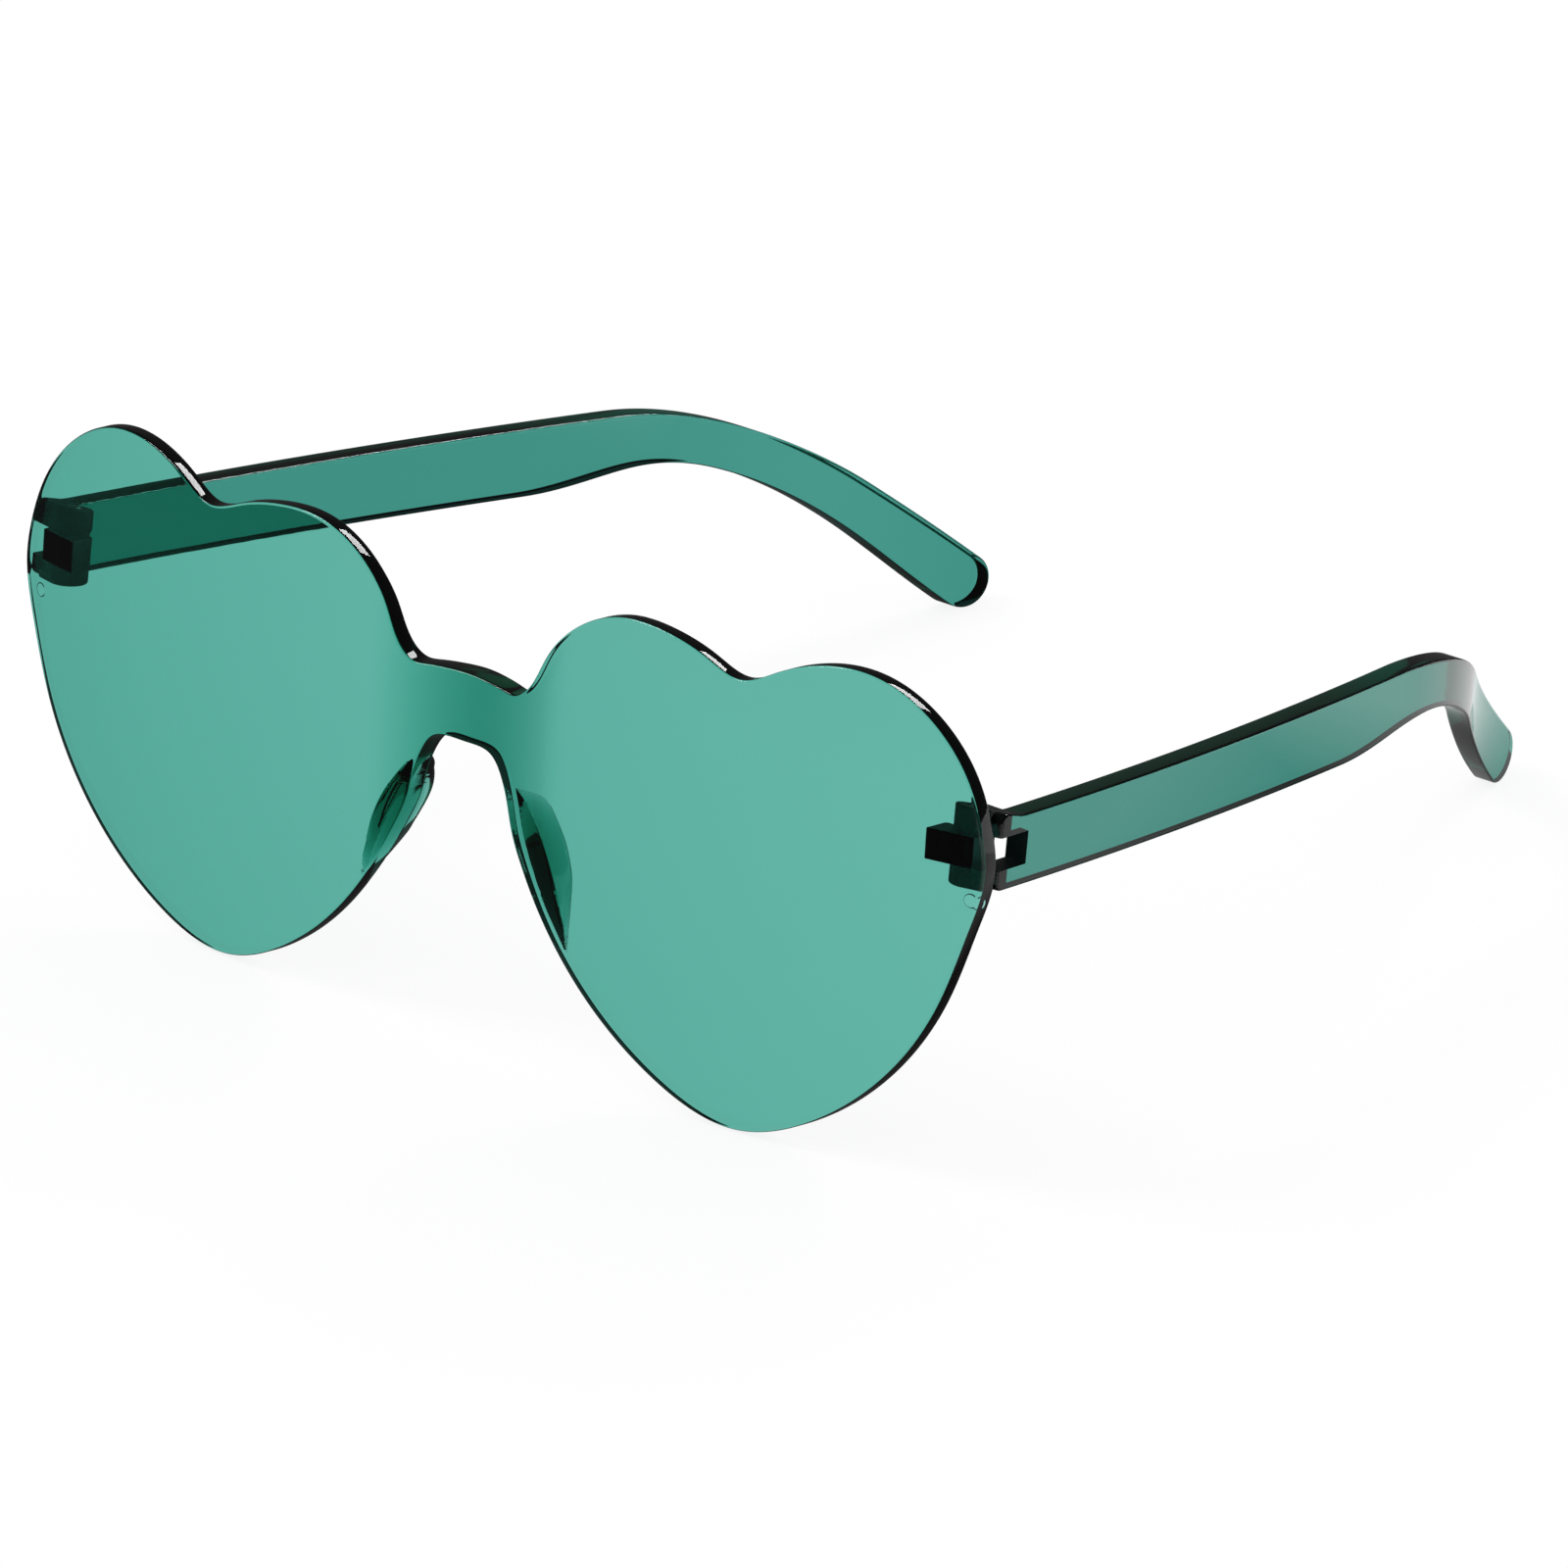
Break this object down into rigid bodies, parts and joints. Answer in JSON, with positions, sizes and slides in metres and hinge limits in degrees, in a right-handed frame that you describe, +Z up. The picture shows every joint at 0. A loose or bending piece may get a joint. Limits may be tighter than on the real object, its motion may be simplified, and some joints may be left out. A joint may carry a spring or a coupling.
{
  "type": "heart shaped sunglasses",
  "caption": "Rimless heart shaped sunglasses of tinted clear plastic: lenses, bridge, nose pads and hinge knuckles in one moulding, with folding fork-ended temples on steel pins.",
  "frame": {"origin": "middle of the bounding box, at the table the glasses stand on", "axes": "+X towards the right-hand lens as seen in the picture, +Y from the lenses towards the temple tips, +Z up; the plane X = 0 is the mirror plane"},
  "size_m": [0.145, 0.14, 0.0595],
  "materials": {
    "tinted_front": "polished clear sea-green polycarbonate",
    "tinted_temple": "polished clear sea-green polycarbonate",
    "pin_steel": "plain turned steel"
  },
  "bodies": {
    "front": {"heart_front": "tinted_front"},
    "right_arm": {"right_temple": "tinted_temple", "right_hinge_pin": "pin_steel"},
    "left_arm": {"left_temple": "tinted_temple", "left_hinge_pin": "pin_steel"}
  },
  "joints": [
    {"name": "right_fold", "type": "hinge", "parent": "front", "child": "right_arm", "pos_m": [0.0679, -0.05829, 0.04086], "axis": [0, 0.1419, 0.9899], "range_deg": [0, 77]},
    {"name": "left_fold", "type": "hinge", "parent": "front", "child": "left_arm", "pos_m": [-0.0679, -0.05829, 0.04086], "axis": [0, -0.1419, -0.9899], "range_deg": [0, 65]}
  ]
}
